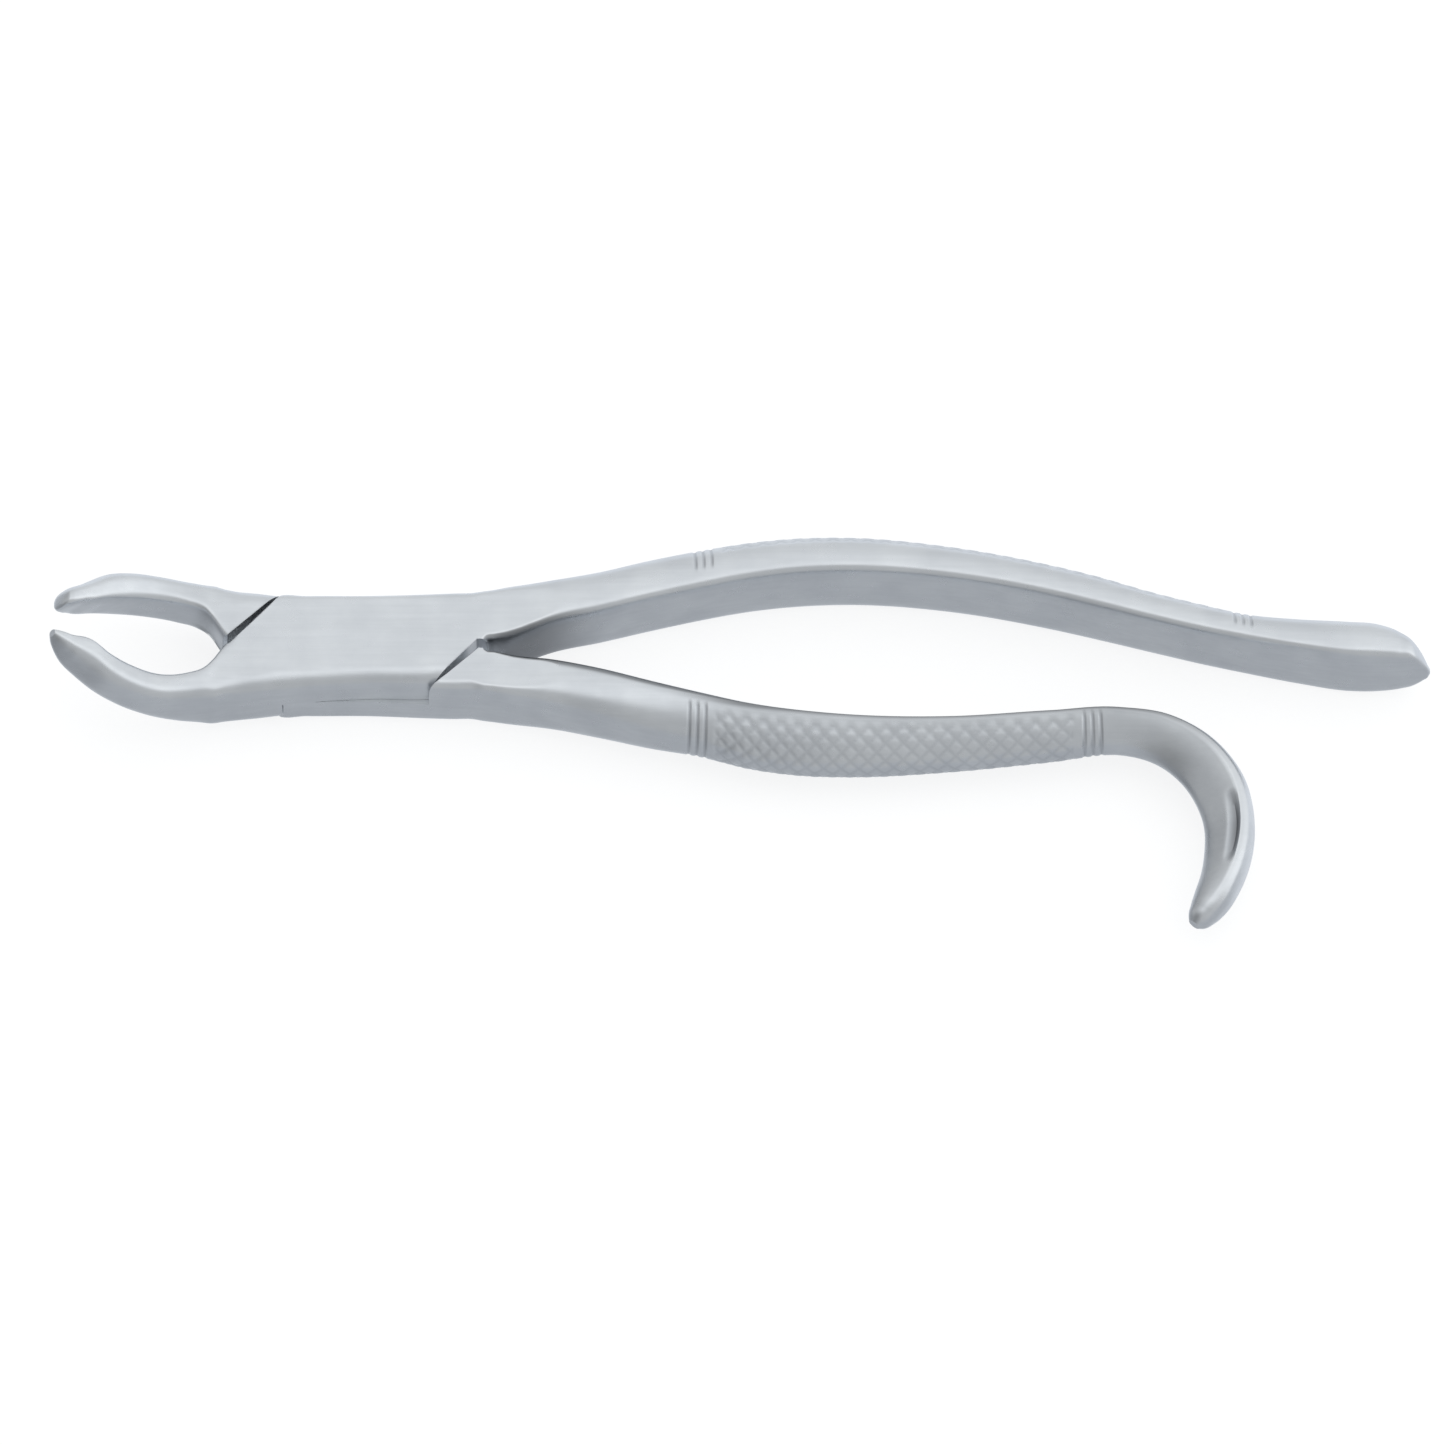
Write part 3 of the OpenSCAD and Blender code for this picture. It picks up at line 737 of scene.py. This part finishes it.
# ---------------------------------------------------------------- materials
class Nodes:
    """A small helper to build a node tree."""

    def __init__(self, tree):
        self.tree = tree
        tree.nodes.clear()

    def add(self, kind, **values):
        node = self.tree.nodes.new(kind)
        for key, value in values.items():
            setattr(node, key, value)
        return node

    def link(self, source, target):
        self.tree.links.new(source, target)

    def math(self, operation, a, b):
        node = self.add("ShaderNodeMath", operation=operation)
        for socket, value in zip(node.inputs, (a, b)):
            if isinstance(value, (int, float)):
                socket.default_value = value
            else:
                self.link(value, socket)
        return node.outputs[0]

    def attribute(self, name):
        return self.add("ShaderNodeAttribute", attribute_name=name).outputs["Fac"]

    def ramp(self, value, low, high, bottom, top):
        """From bottom to top, as the value goes from low to high."""
        node = self.add("ShaderNodeMapRange")
        self.link(value, node.inputs["Value"])
        limits = {"From Min": low, "From Max": high, "To Min": bottom, "To Max": top}
        for key, number in limits.items():
            node.inputs[key].default_value = number
        return node.outputs["Result"]

    def soft_ramp(self, value, low, high, bottom, top):
        """The same, with a soft start and end."""
        node = self.add("ShaderNodeMapRange", interpolation_type="SMOOTHSTEP")
        self.link(value, node.inputs["Value"])
        node.inputs["From Min"].default_value = low
        node.inputs["From Max"].default_value = high
        return self.ramp(node.outputs["Result"], 0.0, 1.0, bottom, top)

    def noise(self, vector, scale, detail=3.0, rough=0.55):
        node = self.add("ShaderNodeTexNoise")
        self.link(vector, node.inputs["Vector"])
        node.inputs["Scale"].default_value = scale
        node.inputs["Detail"].default_value = detail
        node.inputs["Roughness"].default_value = rough
        return node.outputs["Fac"]

    def stretch(self, vector, scale):
        node = self.add("ShaderNodeMapping")
        self.link(vector, node.inputs["Vector"])
        node.inputs["Scale"].default_value = scale
        return node.outputs["Vector"]

    def lit(self, colour, glow):
        """A matt surface that also glows a little."""
        matt = self.add("ShaderNodeBsdfDiffuse")
        matt.inputs["Color"].default_value = colour
        light = self.add("ShaderNodeEmission")
        light.inputs["Color"].default_value = colour
        if isinstance(glow, float):
            light.inputs["Strength"].default_value = glow
        else:
            self.link(glow, light.inputs["Strength"])
        both = self.add("ShaderNodeAddShader")
        self.link(matt.outputs[0], both.inputs[0])
        self.link(light.outputs[0], both.inputs[1])
        return both.outputs[0]

    def mix(self, factor, a, b):
        """From colour a to colour b. Each is a tuple or a socket."""
        node = self.add("ShaderNodeMix", data_type="RGBA")
        self.link(factor, node.inputs["Factor"])
        for key, value in (("A", a), ("B", b)):
            socket = [x for x in node.inputs if x.name == key and x.type == "RGBA"][0]
            if isinstance(value, tuple):
                socket.default_value = value
            else:
                self.link(value, socket)
        return [x for x in node.outputs if x.type == "RGBA"][0]


# Steel colours: light and dark mottling of the forgings and of the screw, and what is mixed in:
# streaks, wear with a painted highlight, and painted shade.
FORGED_LIGHT = (0.78, 0.80, 0.82, 1.0)
FORGED_DARK = (0.72, 0.74, 0.765, 1.0)
SCREW_LIGHT = (0.70, 0.71, 0.73, 1.0)
SCREW_DARK = (0.62, 0.63, 0.65, 1.0)
STREAK_COLOUR = (0.42, 0.44, 0.46, 1.0)
# Wear and a painted highlight on the edges.
WEAR_AND_HIGHLIGHT_COLOUR = (0.86, 0.87, 0.88, 1.0)
# Painted shade in the grooves, the knurling and the hollow by the hook's rim.
GROOVE_SHADE_COLOUR = (0.34, 0.36, 0.39, 1.0)
# Painted shade on the inner sides and in the hollow by the hook's rim.
PAINTED_SHADE_COLOUR = (0.2, 0.205, 0.215, 1.0)
BRUSHING_DEPTH = 0.00002
SHARP_ANGLE = 34


def steel(name, light, dark, roughness, brushed):
    """Satin stainless steel: cool grey, faint mottling, fine brushing, lighter edges from wear and
    a painted highlight.
    """
    material = bpy.data.materials.new(name)
    material.use_nodes = True
    n = Nodes(material.node_tree)
    place_of = n.add("ShaderNodeTexCoord").outputs["Object"]
    cavity = n.attribute("cavity")

    mottle = n.noise(place_of, 180.0, 3.0, 0.5)
    colour = n.mix(n.ramp(mottle, 0.35, 0.65, 0.0, 1.0), dark, light)
    streak = n.noise(n.stretch(place_of, (60.0, 1500.0, 1500.0)), 1.0, 4.0, 0.6)
    colour = n.mix(n.ramp(streak, 0.3, 0.7, 0.0, 0.12), colour, STREAK_COLOUR)
    # Edges: wear and a painted highlight.
    colour = n.mix(n.ramp(n.attribute("worn"), 0.0, 1.0, 0.0, 0.4), colour, WEAR_AND_HIGHLIGHT_COLOUR)
    # Painted shade in the grooves, the knurling and the hollow, darker where they are deeper.
    colour = n.mix(n.ramp(cavity, 0.2, 1.0, 0.0, 0.35), colour, GROOVE_SHADE_COLOUR)
    # Painted shade on the inner sides near the joint, along the hooked handle's rim and in the
    # hollow.
    colour = n.mix(n.ramp(n.attribute("shade"), 0.0, 1.0, 0.0, 0.8), colour, PAINTED_SHADE_COLOUR)

    rough = n.ramp(n.noise(place_of, 420.0, 4.0), 0.3, 0.7, roughness - 0.04, roughness + 0.05)
    rough = n.math("ADD", rough, n.ramp(cavity, 0.2, 1.0, 0.0, 0.12))

    shader = n.add("ShaderNodeBsdfPrincipled")
    n.link(colour, shader.inputs["Base Color"])
    n.link(rough, shader.inputs["Roughness"])
    shader.inputs["Metallic"].default_value = 1.0
    bump = n.add("ShaderNodeBump")
    bump.inputs["Strength"].default_value = brushed
    bump.inputs["Distance"].default_value = BRUSHING_DEPTH
    fine = n.noise(n.stretch(place_of, (400.0, 9000.0, 9000.0)), 1.0, 2.0, 0.5)
    n.link(fine, bump.inputs["Height"])
    n.link(bump.outputs["Normal"], shader.inputs["Normal"])
    out = n.add("ShaderNodeOutputMaterial")
    n.link(shader.outputs[0], out.inputs["Surface"])
    return material


def dress(piece, material, body, node):
    """Gives the piece its material, smooth shading with sharp edges, its body and its node."""
    piece.data.materials.clear()
    piece.data.materials.append(material)
    piece.data.shade_smooth()
    piece.data.set_sharp_from_angle(angle=math.radians(SHARP_ANGLE))
    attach(piece, body)
    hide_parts(node)


# ---------------------------------------------------------------- floor, light and camera
def floor():
    """A plain pale floor at the object's lowest point. The camera sees it lit evenly."""
    size = 3.0
    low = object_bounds()[0].z
    mesh = bpy.data.meshes.new("floor")
    corners = [(-size, -size, low), (size, -size, low), (size, size, low), (-size, size, low)]
    mesh.from_pydata(corners, [], [(0, 1, 2, 3)])
    plane = add("floor", mesh)
    material = bpy.data.materials.new("pale_floor")
    material.use_nodes = True
    n = Nodes(material.node_tree)
    seen = n.add("ShaderNodeLightPath").outputs["Is Camera Ray"]
    way = n.add("ShaderNodeSeparateXYZ")
    n.link(n.add("ShaderNodeNewGeometry").outputs["Incoming"], way.inputs[0])
    # Seen in reflections, the floor glows by an amount that changes with the direction it is seen
    # from: a painted reflection on the steel.
    front = n.soft_ramp(way.outputs["Y"], -0.5, 0.3, 6.2, 3.35)
    left = n.soft_ramp(way.outputs["X"], 0.25, 0.85, 1.0, 0.5)
    plain = n.lit((0.12, 0.125, 0.132, 1.0), n.math("MULTIPLY", front, left))
    pale = n.lit((0.35, 0.35, 0.35, 1.0), 2.25)
    mix = n.add("ShaderNodeMixShader")
    n.link(seen, mix.inputs["Fac"])
    n.link(plain, mix.inputs[1])
    n.link(pale, mix.inputs[2])
    out = n.add("ShaderNodeOutputMaterial")
    n.link(mix.outputs[0], out.inputs["Surface"])
    mesh.materials.append(material)
    plane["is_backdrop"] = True


def studio():
    """Soft light: bright above and behind the object, dimmer in front of it."""
    world = bpy.data.worlds.new("studio")
    bpy.context.scene.world = world
    world.use_nodes = True
    n = Nodes(world.node_tree)
    way = n.add("ShaderNodeSeparateXYZ")
    n.link(n.add("ShaderNodeTexCoord").outputs["Generated"], way.inputs[0])
    front = n.soft_ramp(way.outputs["Y"], -0.55, -0.05, 0.55, 1.03)
    back = n.soft_ramp(way.outputs["Y"], 0.0, 0.95, 1.0, 0.75)
    left = n.soft_ramp(way.outputs["X"], -0.8, -0.15, 0.5, 1.0)
    right = n.soft_ramp(way.outputs["X"], 0.2, 0.9, 1.0, 1.1)
    strength = n.math("MULTIPLY", n.math("MULTIPLY", front, back), n.math("MULTIPLY", left, right))
    glow = n.add("ShaderNodeBackground")
    n.link(strength, glow.inputs["Strength"])
    glow.inputs["Color"].default_value = (0.955, 0.98, 1.0, 1.0)
    out = n.add("ShaderNodeOutputWorld")
    n.link(glow.outputs[0], out.inputs["Surface"])


def camera():
    """Looks down on the joint's front face, tilted 28 degrees, through a long lens.

    width is what the picture shows at the target, in metres.
    """
    elevation = math.radians(62)
    width, lens, sensor = 0.1866, 1400.0, 36.0
    target = Vector((0.04744, -0.00971, HALF_DEPTH * MM))
    back = Vector((0, -math.cos(elevation), math.sin(elevation)))
    data = bpy.data.cameras.new("camera")
    data.lens, data.sensor_width = lens, sensor
    away = width * lens / sensor
    data.clip_start, data.clip_end = 0.5, 20.0
    view = bpy.data.objects.new("camera", data)
    view.location = target + back * away
    view.rotation_euler = (math.pi / 2 - elevation, 0, 0)
    bpy.context.scene.collection.objects.link(view)
    bpy.context.scene.camera = view


# ---------------------------------------------------------------- the scene
forged = steel("satin_steel", FORGED_LIGHT, FORGED_DARK, roughness=0.3, brushed=0.25)
machined = steel("screw_steel", SCREW_LIGHT, SCREW_DARK, roughness=0.24, brushed=0.15)
dress(straight_half(), forged, "straight_half", "straight_half")
dress(hook_half(), forged, "hook_half", "hook_half")
dress(pivot_screw(), machined, "straight_half", "pivot_screw")
floor()
studio()
camera()
settings = bpy.context.scene.view_settings
settings.view_transform = "Standard"
